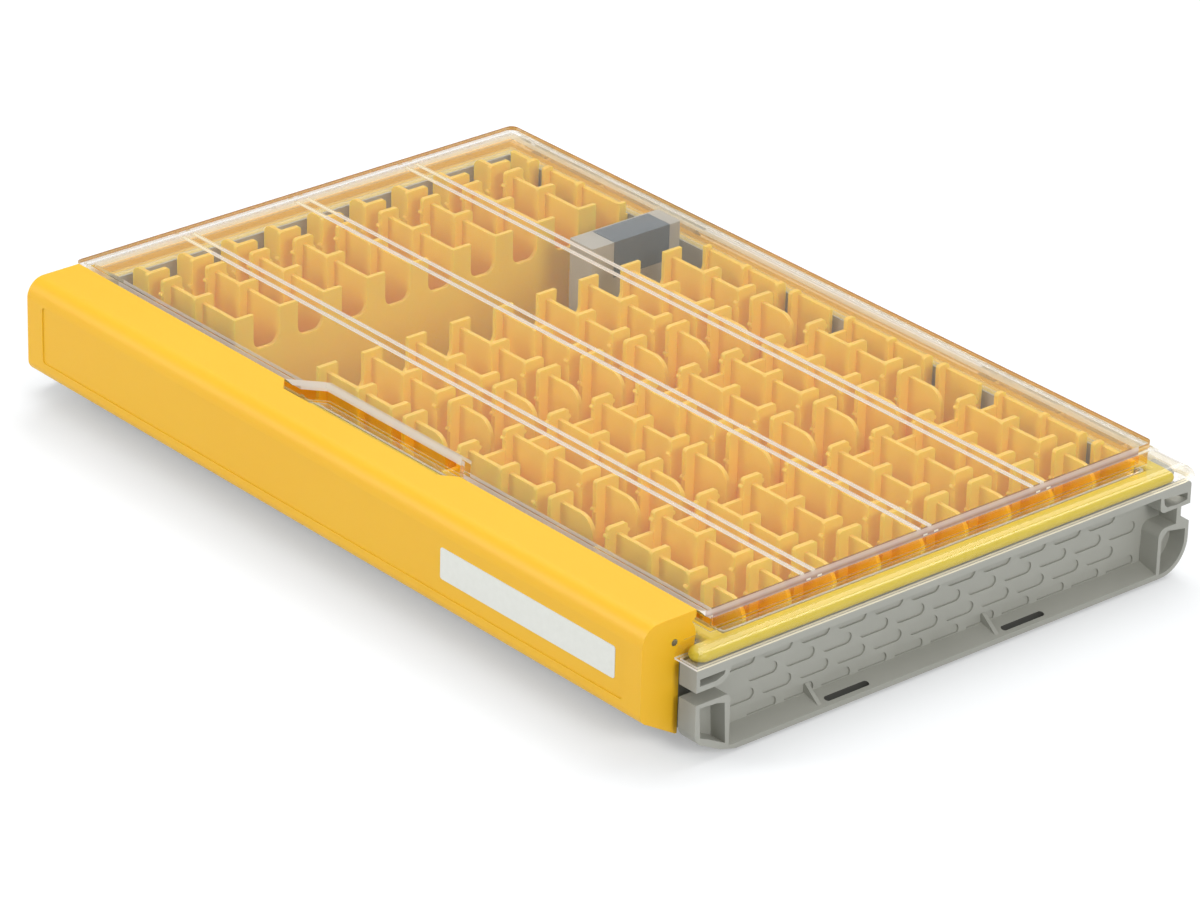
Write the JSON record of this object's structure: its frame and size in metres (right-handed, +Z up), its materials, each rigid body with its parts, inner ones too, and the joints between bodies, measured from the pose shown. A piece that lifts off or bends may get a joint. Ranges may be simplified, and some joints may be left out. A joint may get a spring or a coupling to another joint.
{
  "type": "lure box",
  "caption": "Flat fishing lure box: grey tub with comb racks, clear hinged lid with a yellow seal, full-width yellow latch bar, drying holder inside",
  "frame": {"origin": "centre of the box's footprint, on the surface it stands on", "axes": "+X along the case to the right as the latch is faced, +Y to the hinge side, the latch faces -Y, +Z up"},
  "size_m": [0.3586, 0.2394, 0.0499],
  "materials": {
    "tub_grey": "satin",
    "lid_clear": "clear gloss",
    "seal_yellow": "matte",
    "latch_yellow": "satin",
    "rack_amber": "satin",
    "pin_steel": "brushed",
    "label_white": "matte",
    "label_slate": "matte",
    "holder_smoke": "translucent",
    "pack_white": "matte"
  },
  "bodies": {
    "base": {"base_tub": "tub_grey", "hinge_pin_left": "pin_steel", "hinge_pin_right": "pin_steel", "lure_rack_left": "rack_amber", "lure_rack_right_inner": "rack_amber", "lure_rack_right_middle": "rack_amber", "lure_rack_right_outer": "rack_amber", "desiccant_case": "holder_smoke", "desiccant_cover": "holder_smoke", "desiccant_pack": "pack_white", "desiccant_label": "label_slate"},
    "lid": {"lid_shell": "lid_clear", "lid_seal": "seal_yellow", "latch_pin_left": "pin_steel", "latch_pin_right": "pin_steel"},
    "latch": {"latch_bar": "latch_yellow", "latch_label": "label_white"}
  },
  "joints": [
    {"name": "lid", "type": "hinge", "parent": "base", "child": "lid", "pos_m": [0, 0.1168, 0.0336], "axis": [-1, 0, 0], "range_deg": [0, 105]},
    {"name": "latch", "type": "hinge", "parent": "lid", "child": "latch", "pos_m": [0, -0.1059, 0.0408], "axis": [-1, 0, 0], "range_deg": [0, 34]}
  ]
}
